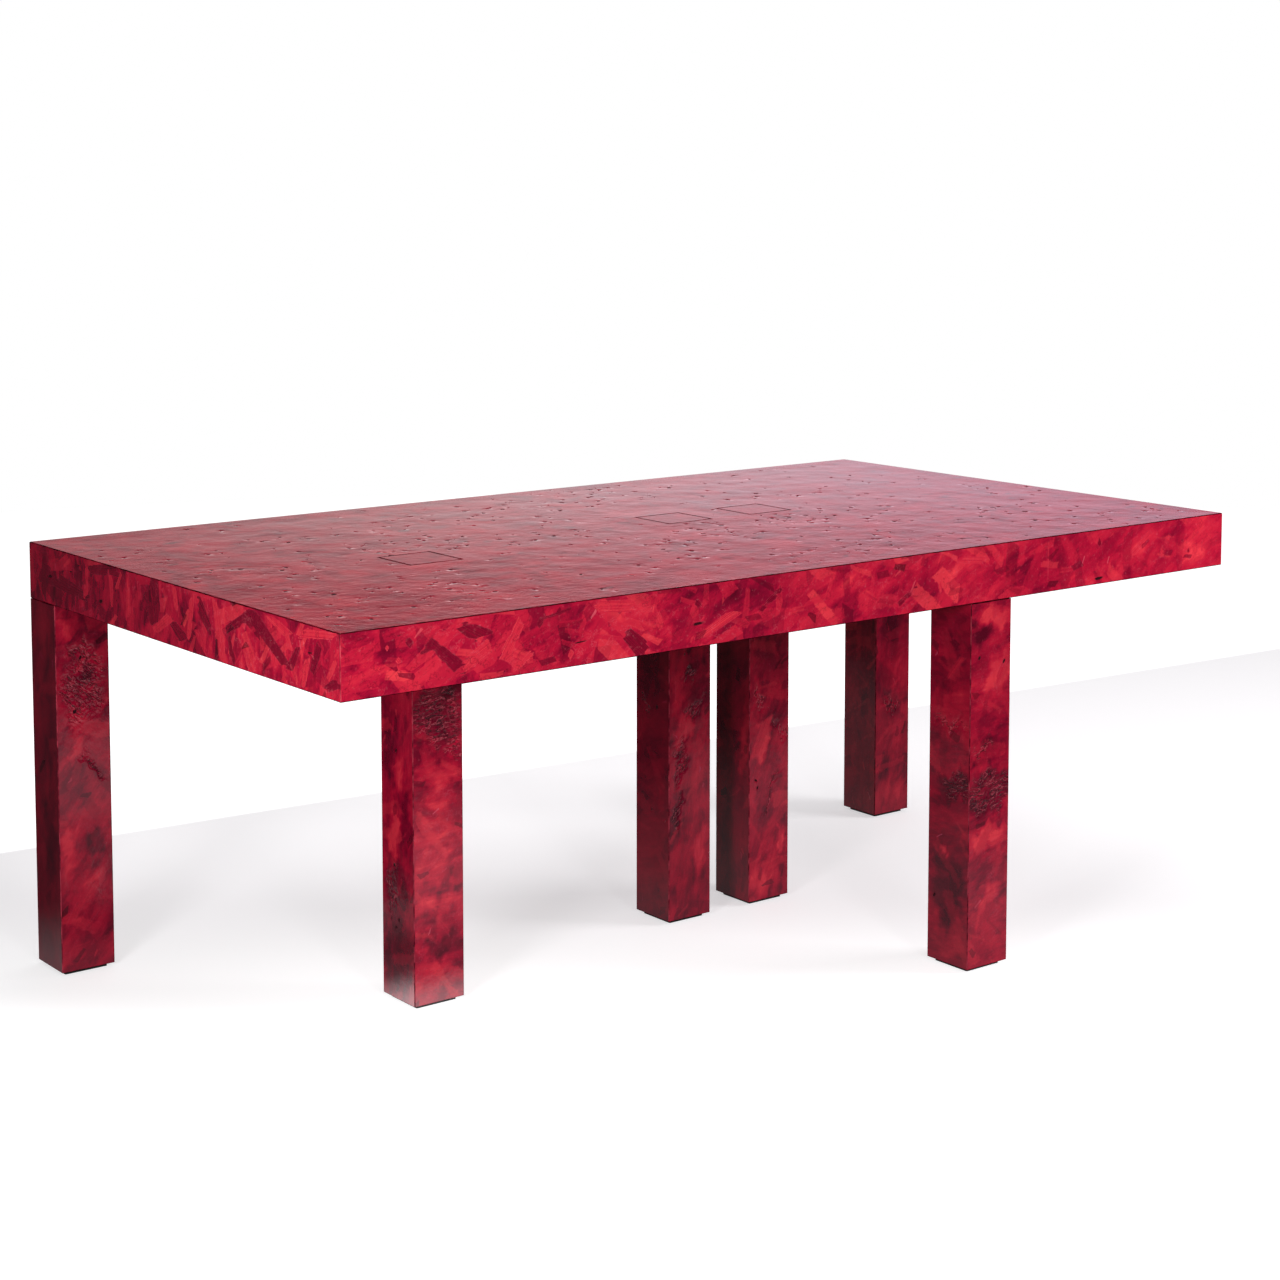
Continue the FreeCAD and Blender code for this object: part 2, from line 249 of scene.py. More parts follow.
print("shader helpers ready")

# %% [markdown]
# ## The strand sheet's finish
# Each strand is a flat sliver of its own red, lying at its own angle, and newer ones lie over older
# ones. A Voronoi texture gives a random point for each cell of a grid. Measured from that point, in
# a grid that is stretched and turned, a sliver is just the places that are nearer than half a
# length and half a width. Nine such layers, from wide soft patches to narrow slivers, are laid over
# each other, with two layers of fine strokes on top. The pattern follows each board's own UV map,
# measured in metres, so that it can run another way on every board.

# %% Reds
CORAL_LIGHT = (0.80, 0.048, 0.062)
CORAL = (0.62, 0.019, 0.044)
SCARLET = (0.49, 0.0068, 0.035)
CRIMSON = (0.355, 0.0026, 0.028)
WINE = (0.205, 0.0012, 0.021)
MAROON = (0.10, 0.0006, 0.012)
SOOT = (0.026, 0.001, 0.004)
BLUSH = (0.74, 0.15, 0.19)

# cell's length and width, turn in degrees, share of cells that hold a strand, softness of its
# edge, how solid it is, how far a strand may turn on its own, and the reds that it may have
STRAND_LAYERS = [
    (0.170, 0.085, 10, 0.75, 0.0050, 0.60, 50, (WINE, CRIMSON, SCARLET)),
    (0.150, 0.075, -50, 0.70, 0.0030, 0.65, 50, (CRIMSON, SCARLET, CORAL)),
    (0.090, 0.030, 45, 0.60, 0.0008, 0.75, 40, (WINE, SCARLET, CORAL)),
    (0.150, 0.060, 28, 0.70, 0.0010, 0.80, 40, (WINE, CRIMSON, SCARLET)),
    (0.145, 0.055, -25, 0.65, 0.0010, 0.80, 40, (CRIMSON, SCARLET, CORAL)),
    (0.130, 0.050, 65, 0.50, 0.0008, 0.90, 30, (MAROON, WINE, WINE)),
    (0.135, 0.050, -68, 0.55, 0.0008, 0.85, 30, (SCARLET, CORAL, CORAL_LIGHT)),
    (0.120, 0.036, 0, 0.55, 0.0006, 0.85, 40, (WINE, SCARLET, CORAL)),
    (0.070, 0.022, -40, 0.45, 0.0005, 0.80, 40, (MAROON, SCARLET, CORAL_LIGHT)),
]
FINE_LAYERS = [
    (0.026, 0.0070, 30, 0.011, 0.0006, 0.50, 90, (CORAL, CORAL_LIGHT, BLUSH)),
    (0.040, 0.0200, -20, 0.060, 0.0010, 0.80, 90, (SOOT, MAROON, WINE)),
]

# above this cell width a strand's edge gets no more ragged
WIDEST_RAGGED = 0.06
# the brushed ground, from its darkest dye to its brightest
GROUND = [(0.08, MAROON), (0.32, WINE), (0.50, CRIMSON), (0.66, SCARLET), (0.84, CORAL), (1.0, CORAL_LIGHT)]
# the strands laid one by one: the value that a board keeps for them, how solid they are, and their reds
LAID_LAYERS = [("laid_dark", 0.65, (MAROON, CRIMSON)), ("laid_bright", 0.55, (SCARLET, CORAL_LIGHT))]
# how closely hair-thin threads lie along and across the dye, and how strong they are: some follow
# the dye and some wind
THREADS = [((22, 110, 0), 0.22), ((64, 58, 0), 0.34)]

# %% One layer of strands
def strand_layer(paint, place, below, board, number, layer):
    """The colour with one more layer of strands laid over it."""
    length, width, turned, share, soft, solid, loose, reds = layer
    # a grid of cells, each with a point and three numbers of its own
    grid = {"Vector": place, "Location": (0.37 * number, 0.73 * number, 0),
            "Rotation": (0, 0, math.radians(turned)), "Scale": (length, width, 1)}
    cells = paint.node("ShaderNodeMapping", {"vector_type": "TEXTURE"}, grid).outputs[0]
    settings = {"voronoi_dimensions": "2D", "feature": "F1"}
    sockets = {"Vector": cells, "Scale": 1.0, "Randomness": 0.9}
    found = paint.node("ShaderNodeTexVoronoi", settings, sockets).outputs
    chance, hue, other = paint.parts(found["Color"])
    # the strand: near enough to the point along its own turn and across it, with ragged ends
    away = paint.vector("SUBTRACT", cells, found["Position"])
    away = paint.vector("MULTIPLY", away, (length, width, 0))
    angle = (hue - 0.5) * math.radians(loose)
    spun = paint.turn(away, angle)
    along, across = paint.parts(spun)[:2]
    half_length = (other * 0.14 + 0.26) * length
    half_width = (chance * 0.16 + 0.18) * width + along * angle * 0.25
    slant = along + across * (other * 1.6 - 0.8)
    inside = (half_length - abs(slant)).at_most(half_width - abs(across))
    inside = inside + board["ragged"] * min(width, WIDEST_RAGGED)
    # only some cells hold a strand, and each strand has its own red, streaked along its length
    held = (chance * 7.31 + hue).fraction().above(1 - share)
    here = inside.rise(0.0, board["blur"] + soft) * held * board["firm"]
    streaks = paint.vector("ADD", paint.vector("MULTIPLY", spun, (12, 220, 0)), found["Color"])
    grain = paint.noise(streaks, 1.0, 2.0, 0.6)
    stops = [(0.15 + 0.35 * step, red) for step, red in enumerate(reds)]
    shade = (other * 5.3 + hue).fraction() * 0.7 + grain * 0.5 + board["shift"]
    clear = (hue * 9.1 + chance).fraction() * 0.5 + 0.5
    return paint.mix(here * clear * solid, below, paint.ramp(shade, stops))


# %% The whole finish
def line_at(value, level, reach):
    """1 where a value is at a level, falling to 0 within a reach of it."""
    return 1 - abs(value - level).rise(0.0, reach)


def make_strand_sheet(name):
    """Glossy lacquer over layers of dyed strands."""
    paint = new_paint(name, IOR=1.5, Coat_Roughness=0.05)
    sheet = paint.node("ShaderNodeUVMap", {"uv_map": "sheet"}).outputs[0]
    melt, glow, lively, tone = (paint.stored(key) for key in ("melt", "glow", "lively", "tone"))
    drift = paint.vector("SUBTRACT", paint.noise(sheet, 11.0, output="Color"), (0.5, 0.5, 0.5))
    place = paint.vector("ADD", sheet, paint.stretch(drift, melt * 0.035 + 0.006))
    ragged = paint.noise(sheet, 130.0, 3.0, 0.6) - 0.5
    cloud = paint.noise(place, 9.0, 3.0, 0.6)

    # the ground: dye brushed out along the strands, brighter or darker in patches set out one by one
    brushed = paint.noise(paint.vector("MULTIPLY", place, (13, 40, 0)), 1.0, 5.0, 0.62) - 0.5
    shade = brushed * (lively * 1.4 + 0.4) * (1.15 - melt * 0.6) + glow * 0.48 + 0.5
    shade = shade + (cloud - 0.5) * (lively * 0.7 + 0.4)
    colour = paint.ramp(shade, GROUND)
    board = {"ragged": ragged * (melt * 0.4 + 0.10), "blur": melt * 0.010, "firm": 1 - melt * 0.85,
             "shift": glow * 0.4 - 0.1}
    for number, layer in enumerate(STRAND_LAYERS):
        colour = strand_layer(paint, place, colour, board, number + 1, layer)

    # the largest strands are laid one by one: each board knows how deep a point lies inside one
    stripe = paint.noise(paint.stored("stripe"), 700.0, 2.0, 0.6)
    for side, solid, reds in LAID_LAYERS:
        deep = paint.stored(side) + ragged * 0.0025
        # painted highlight: a thin pale line just inside the edge of each laid strand, where its streaks are
        # light
        rim = deep.rise(0.0, 0.0006) * (1 - deep.rise(0.0010, 0.0024)) * stripe.rise(0.45, 0.75)
        laid = paint.mix(stripe.rise(0.38, 0.72), *reds)
        solid = (stripe * (0.95 - solid) * 2 + solid) * deep.rise(0.0, board["blur"] + 0.0008)
        colour = paint.mix(solid, colour, laid)
        colour = paint.mix(rim * 0.3, colour, BLUSH)
    for number, layer in enumerate(FINE_LAYERS):
        colour = strand_layer(paint, place, colour, {**board, "blur": 0, "firm": 1}, number + 11, layer)
    # painted glints: pale specks where the ragged noise is high, dimmed on darkened boards
    colour = paint.mix(ragged.rise(0.06, 0.30) * tone * tone * 0.22, colour, BLUSH)

    # dark splits and pale threads, hair-thin
    for spread, amount in THREADS:
        thread = paint.noise(paint.vector("MULTIPLY", place, spread), 1.0, 3.0, 0.6)
        split = line_at(thread, 0.42, 0.030) * (1 - melt) * (1 - cloud.rise(0.45, 0.65))
        pale = line_at(thread, 0.60, 0.022) * (1 - melt) * cloud.rise(0.42, 0.60)
        colour = paint.mix(split * amount * 1.3, colour, MAROON)
        colour = paint.mix(pale * tone * lively * amount, colour, BLUSH)
    # less green in melted strands, and where painted shade darkens a board
    colour = paint.mix((melt * 0.7).at_least((1 - tone) * 1.5), colour, (1, 0.3, 0.88), "MULTIPLY")

    # creases: winding folds, with painted shade in their depth and a painted highlight beside each
    bent = paint.vector("MULTIPLY", paint.turn(place, paint.stored("fold_turn")), (42, 125, 0))
    ridges = paint.noise(bent, 1.0, 3.0, 0.55)
    crease = paint.stored("crease").rise(0.2, 0.8)
    fold = line_at(ridges, 0.5, 0.038) * crease
    painted_crease_highlight = line_at(ridges, 0.57, 0.025) * crease
    colour = paint.mix(fold * 0.8, colour, SOOT)
    colour = paint.mix(painted_crease_highlight * 0.45, colour, BLUSH)

    # chips: dark where the surface has broken
    broken = (paint.stored("chip") + ragged * 0.4).rise(0.20, 0.45)
    colour = paint.mix(broken, colour, SOOT)
    # painted shade, on the legs partly their own darker dye: each board darkens towards near black by how
    # little of its full colour it keeps
    colour = paint.mix(1 - tone, colour, (0.018, 0.0008, 0.004))

    ripple = paint.noise(sheet, 48.0, 3.0, 0.55)
    height = ripple * lively * 1.8 + ragged * lively * 0.5 - fold * 3.0
    return paint.finish(Base_Color=colour, Roughness=cloud * 0.10 + broken * 0.6 + 0.12,
                        Coat_Weight=0.35 - broken * 0.35, Normal=paint.bump(height, 0.22, 0.0015))


strand_sheet = make_strand_sheet("lacquered_strand_sheet")
print("strand sheet has", len(strand_sheet.node_tree.nodes), "nodes")

# %% [markdown]
# ## Joint lines
# Where two boards meet in a mitre, the real table shows a hair-thin dark line of glue. The same dark
# material lines every chamfer: at the mitres it is glue, and along the lower edges, the legs' outer edges
# and round the leg ends in the top it is painted shade.
# At the slab's near upright corners the arris is lighter, a painted highlight, and at the legs' near corners
# it is rubbed lighter.
# Each board has a narrow chamfer all round, and the chamfer takes a material of its own, which keeps the
# line crisp at any distance.

# %% Joint line materials
def make_line(name, dark, light):
    """The finish of a narrow arris, mottled along its length."""
    paint = new_paint(name, Roughness=0.7, Specular_IOR_Level=0.0)
    mottle = paint.noise(paint.place(), 45.0, 3.0, 0.6)
    return paint.finish(Base_Color=paint.mix(mottle.rise(0.35, 0.65), dark, light))


# a dark line that is glue at the mitres and painted shade along lower edges and round the leg ends, a pale
# painted highlight for the slab's upright corners, and a rubbed arris
joint_line_and_shade = make_line("joint_line_and_shade", (0.008, 0.0005, 0.001), (0.11, 0.004, 0.012))
arris_highlight = make_line("arris_highlight", (0.30, 0.007, 0.025), (0.58, 0.055, 0.075))
rubbed_arris = make_line("rubbed_arris", (0.07, 0.003, 0.010), (0.30, 0.030, 0.05))
DARK, PALE, RUBBED = 1, 2, 3
print("joint lines ready")

# %% [markdown]
# ## A board
# Every visible face of the table is one board: a flat sheet whose edges are cut back at 45 degrees
# so that it meets its neighbours in a closed corner. It starts as a plane, which is cut along the
# lines of any openings and then divided into small cells, so that the surface has something to
# wave with. Its rim is extruded inwards and drawn in for the mitre, and the back is closed.

# %% Selecting by place
SHEET = 0.015
# two places nearer than this are the same place, and a vertex this little below the face is on it
NEAR = 0.001
FLAT = 1e-5
# how much of its length an edge spans along the way that it runs
STRAIGHT = 0.999
# one subdivision makes no more cuts than this, so a long board's cells are longer than its cell size
MOST_CUTS = 100


def only(piece):
    """Select this object and nothing else."""
    if bpy.context.object and bpy.context.object.mode != "OBJECT":
        bpy.ops.object.mode_set(mode="OBJECT")
    bpy.ops.object.select_all(action="DESELECT")
    piece.select_set(True)
    bpy.context.view_layer.objects.active = piece


def pick(piece, kind, test):
    """In edit mode, select the vertices, edges or faces that pass a test."""
    mode = {"verts": "VERT", "edges": "EDGE", "faces": "FACE"}[kind]
    bpy.ops.mesh.select_mode(type=mode)
    bpy.ops.mesh.select_all(action="DESELECT")
    mesh = bmesh.from_edit_mesh(piece.data)
    for item in getattr(mesh, kind):
        if test(item):
            item.select_set(True)
    mesh.select_flush_mode()
    bmesh.update_edit_mesh(piece.data)


def middle(edge):
    return (edge.verts[0].co + edge.verts[1].co) / 2


def runs(edge, axis):
    """Whether an edge runs along the board's X (0) or Y (1)."""
    way = edge.verts[1].co - edge.verts[0].co
    return abs(way[axis]) > STRAIGHT * way.length


# %% Cutting the face into cells
def start_face(name, lines, cell, holes):
    """A flat face in cells, from its cutting lines across X and across Y. It looks up."""
    bpy.ops.object.select_all(action="DESELECT")
    bpy.ops.mesh.primitive_plane_add(size=1)
    board = bpy.context.active_object
    board.name = name
    board.scale = (lines[0][-1] - lines[0][0], lines[1][-1] - lines[1][0], 1)
    bpy.ops.object.transform_apply(location=True, rotation=True, scale=True)
    bpy.ops.object.mode_set(mode="EDIT")
    for axis, row in enumerate(lines):
        for line in row[1:-1]:
            spot, way = [0, 0, 0], [0, 0, 0]
            spot[axis], way[axis] = line, 1
            bpy.ops.mesh.select_all(action="SELECT")
            bpy.ops.mesh.bisect(plane_co=spot, plane_no=way)
    if holes:
        pick(board, "faces", lambda f: any(in_hole(f.calc_center_median(), hole) for hole in holes))
        bpy.ops.mesh.delete(type="FACE")
    for axis, row in enumerate(lines):
        for low, high in zip(row, row[1:]):
            cuts = min(round((high - low) / cell) - 1, MOST_CUTS)
            if cuts > 0:
                centre = (low + high) / 2
                pick(board, "edges", lambda e: runs(e, axis) and abs(middle(e)[axis] - centre) < NEAR)
                bpy.ops.mesh.subdivide(number_cuts=cuts)
    return board


def in_hole(spot, hole):
    """Whether a place lies in a square, given by its middle and its side."""
    return abs(spot.x - hole[0]) < hole[2] / 2 and abs(spot.y - hole[1]) < hole[2] / 2


# %% Giving the board its thickness
FINE_STRIP = 0.0018


def thicken(board, size, mitre, strip, ends, holes):
    """Chamfer the rim, draw it in by the sheet's thickness and close the back."""
    width, height = size
    low = strip / 2
    grown = ((width - strip) / (width - 2 * strip), (height - strip) / (height - 2 * strip), 1)
    inset = [2 * SHEET if cut else 0 for cut in mitre]
    shrink = ((width - inset[0]) / (width - strip), (height - inset[1]) / (height - strip), 1)

    def on_rim(edge):
        spot = middle(edge)
        return width / 2 - abs(spot.x) < 1.1 * strip or height / 2 - abs(spot.y) < 1.1 * strip

    for drop, stretch in ((low, grown), (SHEET, shrink)):
        above = 0 if drop == low else low
        pick(board, "edges", lambda e: e.is_boundary and on_rim(e))
        bpy.ops.mesh.extrude_edges_move(TRANSFORM_OT_translate={"value": (0, 0, above - drop)})
        bpy.ops.transform.resize(value=stretch, center_override=(0, 0, -drop))
    for x, y, side in holes:
        around = (x, y, 2 * side)
        pick(board, "edges", lambda e: e.is_boundary and not on_rim(e) and in_hole(middle(e), around))
        bpy.ops.mesh.extrude_edges_move(TRANSFORM_OT_translate={"value": (0, 0, -FINE_STRIP)})
        closer = side / (side + 2 * FINE_STRIP)
        bpy.ops.transform.resize(value=(closer, closer, 1), center_override=(x, y, -FINE_STRIP))
        bpy.ops.mesh.extrude_edges_move(TRANSFORM_OT_translate={"value": (0, 0, FINE_STRIP - SHEET)})
    pick(board, "edges", lambda e: e.is_boundary)
    if holes:
        bpy.ops.mesh.fill()
    else:
        bpy.ops.mesh.edge_face_add()
    bpy.ops.mesh.select_all(action="SELECT")
    bpy.ops.mesh.normals_make_consistent(inside=False)
    bpy.ops.object.mode_set(mode="OBJECT")
    for face in board.data.polygons:
        if -SHEET * 0.9 < face.center.z < -FLAT:
            face.material_index = DARK
            if face.center.z > -low and abs(face.normal.x) > 0.5:
                face.material_index = ends[0] if face.center.x < 0 else ends[1]


# %% Values kept on the board
LEAST_WEIGHT = 0.001


def spots(board):
    """The board's vertices as rows of X, Y and Z."""
    flat = np.zeros(len(board.data.vertices) * 3, np.float32)
    board.data.vertices.foreach_get("co", flat)
    return flat.reshape(-1, 3)


def on_axes(places, x, y, angle):
    """How far each vertex lies along and across a line through a point."""
    turn = math.radians(angle)
    dx, dy = places[:, 0] - x, places[:, 1] - y
    return dx * math.cos(turn) + dy * math.sin(turn), dy * math.cos(turn) - dx * math.sin(turn)


def keep_value(board, name, values):
    """Store one number for each vertex under a name that the material reads."""
    kept = board.data.attributes.new(name, "FLOAT", "POINT")
    kept.data.foreach_set("value", np.asarray(values, np.float32))


def map_sheet(board, grain, number, scale):
    """The board's own UV map in metres, turned so that U runs with the strands, then scaled."""
    layer = board.data.uv_layers.active or board.data.uv_layers.new(name="sheet")
    layer.name = "sheet"
    corners = np.zeros(len(board.data.loops), np.int32)
    board.data.loops.foreach_get("vertex_index", corners)
    places = spots(board)[corners]
    along, across = on_axes(places, 0, 0, grain)
    u = (along + places[:, 2]) * scale + 2.3 * number
    v = (across + places[:, 2]) * scale + 1.7 * number
    layer.data.foreach_set("uv", np.column_stack((u, v)).astype(np.float32).ravel())


def weigh(board, name, values):
    """A vertex group with a weight for each vertex."""
    group = board.vertex_groups.new(name=name)
    for index in np.nonzero(np.asarray(values) > LEAST_WEIGHT)[0]:
        group.add([int(index)], float(values[index]), "REPLACE")
    return name


# %% [markdown]
# ## Waves, chips and creases
# Lacquered strand sheet is never quite flat. It waves by a fraction of a millimetre, it has small
# broken spots where a strand has lifted out, and in places the surface is creased like crushed
# foil. All three are real shape: a chip or a crease is a weight on the board's vertices, and a
# Displace modifier pushes the surface in by that weight. Nothing is pushed outwards, and nothing
# moves at the rim, where the boards meet.

# %% Pushing the surface in
# edges that turn by more degrees than this stay sharp
SHARP_ANGLE = 25
CHIP_DEPTH = 0.0006
CREASE_DEPTH = 0.0010
# nothing moves this near the rim, and the chips reach their depth this far inside it
STILL_RIM = 0.002
CHIP_EASE = 0.003
# how patches and creases wander across X and across Y: how far, and how fast along the other way
WANDER = (((0.006, 95), (0.003, 310)), ((0.009, 120), (0.004, 350)))


def push_in(board, group, depth, texture=None):
    """Lower a vertex group along the board's normal, by a texture where one is given."""
    only(board)
    step = board.modifiers.new(group, "DISPLACE")
    step.vertex_group = group
    step.direction = "Z"
    step.space = "LOCAL"
    step.mid_level = 0.0
    step.strength = -depth
    if texture:
        step.texture = texture
        step.texture_coords = "UV"
        step.uv_layer = "sheet"
    bpy.ops.object.modifier_apply(modifier=step.name)


waves = bpy.data.textures.new("waves", "CLOUDS")
waves.noise_scale = 0.12
waves.noise_depth = 2
wrinkles = bpy.data.textures.new("wrinkles", "MUSGRAVE")
wrinkles.musgrave_type = "RIDGED_MULTIFRACTAL"
wrinkles.noise_scale = 0.014
wrinkles.octaves = 3
wrinkles.noise_intensity = 0.6


def rim_distance(places, width, height, holes):
    """How far each vertex is from the board's rim or from an opening."""
    far = np.minimum(width / 2 - abs(places[:, 0]), height / 2 - abs(places[:, 1]))
    for x, y, size in holes:
        off = np.maximum(abs(places[:, 0] - x), abs(places[:, 1] - y)) - size / 2
        far = np.minimum(far, off)
    return far


def blot(places, x, y, long, wide, angle):
    """How near each vertex is to an oval spot: 1 in its middle, 0 outside it."""
    along, across = on_axes(places, x, y, angle)
    return np.clip(1 - (along / long)**2 - (across / wide)**2, 0, 1)


def lay_strands(board, places, strands):
    """Store how deep each vertex lies inside bright and dark strands, and where across one."""
    deep = {1: np.full(len(places), -0.02), -1: np.full(len(places), -0.02)}
    stripe = np.zeros(len(places))
    for number, (x, y, long, wide, angle, kind) in enumerate(strands):
        along, across = on_axes(places, x, y, angle)
        taper, slant = (0.25, -0.2, 0.1)[number % 3], (1.1, -1.3, 0.7, -0.9)[number % 4]
        torn = long + 0.004 * np.sin(across * 700 + number) - abs(along + slant * across)
        inside = np.minimum(torn, wide * (1 + taper * along / long) - abs(across))
        nearest = inside > np.maximum(deep[1], deep[-1])
        stripe = np.where(nearest, across + 0.37 * number, stripe)
        deep[-kind] = np.where(inside > 0, np.minimum(deep[-kind], -inside), deep[-kind])
        deep[kind] = np.maximum(deep[kind], inside)
    keep_value(board, "laid_bright", deep[1])
    keep_value(board, "laid_dark", deep[-1])
    keep_value(board, "stripe", stripe)


def weather(board, size, number, holes=(), chips=(), creases=(), patches=(), strands=(), melt=0.3,
            tone=1.0, lively=1.0, glow=0.0, grain=0, fold_turn=0, scale=1, wave_depth=0.0006, ease=0.012):
    """Give a flat board its waves, chips and creases, and the values that its finish reads."""
    map_sheet(board, grain, number, scale)
    places = spots(board)
    face = (places[:, 2] > -FLAT).astype(np.float32)
    inner = np.clip((rim_distance(places, *size, holes) - STILL_RIM) / ease, 0, 1) * face
    chip = np.zeros(len(places))
    for *oval, amount in chips:
        chip = np.maximum(chip, blot(places, *oval) ** 0.5 * amount)
    bent = places.copy()
    for axis, swings in enumerate(WANDER):
        for swing, rate in swings:
            bent[:, axis] += swing * np.sin(places[:, 1 - axis] * rate + number)
    crease = np.zeros(len(places))
    for *oval, amount in creases:
        crease = np.maximum(crease, blot(bent, *oval) * amount)
    glow = np.full(len(places), glow)
    for *oval, amount in patches:
        glow += blot(bent, *oval) ** 0.6 * amount
    keep_value(board, "chip", chip * face)
    keep_value(board, "crease", crease * face)
    keep_value(board, "glow", np.clip(glow, -1.2, 1.2))
    evenly = {"melt": melt, "tone": tone, "lively": lively, "fold_turn": math.radians(fold_turn)}
    for key, value in evenly.items():
        keep_value(board, key, np.full(len(places), value) if np.isscalar(value) else value(places))
    lay_strands(board, places, strands)
    if wave_depth:
        push_in(board, weigh(board, "waves", inner), wave_depth, waves)
    if len(chips):
        held = np.clip(inner * ease / CHIP_EASE, 0, 1)
        push_in(board, weigh(board, "chips", chip * face * held), CHIP_DEPTH)
    if len(creases):
        push_in(board, weigh(board, "creases", crease * inner), CREASE_DEPTH, wrinkles)


def settle(board, origin, along, up, node):
    """Turn the board into place, smooth it, dress it, hang it under the root and hide the CAD node that it
    stands for.
    """
    along, up = Vector(along), Vector(up)
    turn = Matrix((along, up, along.cross(up))).transposed().to_4x4()
    board.matrix_world = Matrix.Translation(Vector(origin)) @ turn
    only(board)
    bpy.ops.object.transform_apply(location=True, rotation=True, scale=True)
    bpy.ops.object.shade_smooth_by_angle(angle=math.radians(SHARP_ANGLE))
    for material in (strand_sheet, joint_line_and_shade, arris_highlight, rubbed_arris):
        board.data.materials.append(material)
    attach(board, "root")
    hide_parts(node)


# %% Random chips
def scatter_chips(seed, size, count, longest, clusters=6):
    """Places, sizes, angles and depths of broken spots: some alone, some in loose clusters."""
    dice = random.Random(seed)
    width, height = size
    hubs = []
    for _ in range(clusters):
        hubs.append((dice.uniform(-0.45, 0.45) * width, dice.uniform(-0.45, 0.45) * height))
    found = []
    for index in range(count):
        if index % 2:
            x, y = dice.uniform(-0.49, 0.49) * width, dice.uniform(-0.47, 0.47) * height
        else:
            hub = dice.choice(hubs)
            x, y = hub[0] + dice.gauss(0, 0.09), hub[1] + dice.gauss(0, 0.05)
        long = longest * dice.uniform(0.3, 1) ** 1.5
        wide = long * dice.uniform(0.35, 0.8)
        found.append((x, y, long, wide, dice.uniform(0, 180), dice.uniform(0.6, 1)))
    return [spot for spot in found if abs(spot[0]) < width / 2 - 0.01 and abs(spot[1]) < height / 2 - 0.008]


print("board helpers ready")

# %% [markdown]
# ## The slab
# Six boards close the slab. The top has three square openings, in which the ends of three legs
# lie flush, with a thin open line round each. Its cells are about 9 mm wide, and the cells at each
# chip are divided again so that the chip has a clear outline.

# %% Boards with and without openings
STRIP = 0.0014
TOP_STRIP = 0.0020
TOP_CELL = 0.009
BOTTOM_CELL = 0.02
EDGE_CELL = 0.0025
# how far round a chip or a crease its cells are divided again
FINE_MARGIN = 0.003
CHIP_LENGTH = 0.005
OPENING = 0.103
THROUGH_LEGS = ("left_leg", "middle_leg", "twin_leg")
LENGTH, WIDTH, HEIGHT = (far - near for near, far in zip(*cad_box))


def leg_middle(name):
    corner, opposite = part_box(name + "_pad")
    return (corner + opposite) / 2


def refine(board, ovals):
    """Divide the cells under each oval again."""
    bpy.ops.object.mode_set(mode="OBJECT")
    centres = np.array([face.center[:] for face in board.data.polygons])
    chosen = np.zeros(len(centres), bool)
    for x, y, long, *_ in ovals:
        chosen |= (centres[:, 0] - x) ** 2 + (centres[:, 1] - y) ** 2 < (long + FINE_MARGIN) ** 2
    bpy.ops.object.mode_set(mode="EDIT")
    marks = iter(chosen.tolist())
    pick(board, "faces", lambda face: next(marks))
    bpy.ops.mesh.subdivide(number_cuts=3)


def cut_lines(reach, places, strip):
    """Cutting lines across a board: its two ends, and both sides of each opening."""
    sides = [p + s * (OPENING / 2 + FINE_STRIP) for p in places for s in (-1, 1)]
    return sorted(set(round(line, 5) for line in (-reach / 2 + strip, reach / 2 - strip, *sides)))


def make_board(name, node, size, origin, along, up, number, cell=0.006, holes=(), refined=(), strip=STRIP,
               mitre=(True, True), ends=(DARK, DARK), **looks):
    """One board made, weathered and put in place."""
    lines = [cut_lines(reach, [hole[axis] for hole in holes], strip) for axis, reach in enumerate(size)]
    board = start_face(name, lines, cell, [(x, y, side + 2 * FINE_STRIP) for x, y, side in holes])
    if refined:
        refine(board, refined)
    thicken(board, size, mitre, strip, ends, holes)
    weather(board, size, number, holes, **looks)
    settle(board, origin, along, up, node)
    return board


def on_board(marks, low_z, tall):
    """Marks in millimetres above the floor, as metres from the board's middle."""
    return [(x / 1000, z / 1000 - low_z - tall / 2, long / 1000, wide / 1000, turn, amount)
            for x, z, long, wide, turn, amount in marks]


def upright_board(name, node, way_out, number, seed, chip_count, marks=None, **looks):
    """A board on a CAD node's upright outer face, with marks set out from the floor."""
    corner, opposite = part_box(node)
    reach = opposite - corner
    out = Vector((*way_out, 0))
    along = Vector((-out.y, out.x, 0))
    size = (abs(reach.dot(along)), reach.z)
    origin = (corner + opposite + out * abs(reach.dot(out))) / 2
    placed = {kind: on_board(rows, corner.z, reach.z) for kind, rows in (marks or {}).items()}
    return make_board(name, node, size, origin, along, (0, 0, 1), number, refined=placed.get("creases", ()),
                      chips=scatter_chips(seed, size, chip_count, CHIP_LENGTH), **placed, **looks)


# %% Top and bottom boards
TOP_LOOKS = {"melt": 0.62, "glow": 0.27, "lively": 0.35}


def top_lively(places):
    """More ripple near the left end and the front of the top."""
    return np.clip(0.42 - 0.16 * places[:, 0] - 0.25 * places[:, 1], 0.22, 0.7)


def leg_holes(flip):
    """The middles and sides of the three openings, seen from above (1) or from below (-1)."""
    return [(c.x, flip * c.y, OPENING) for c in (leg_middle(leg) for leg in THROUGH_LEGS)]


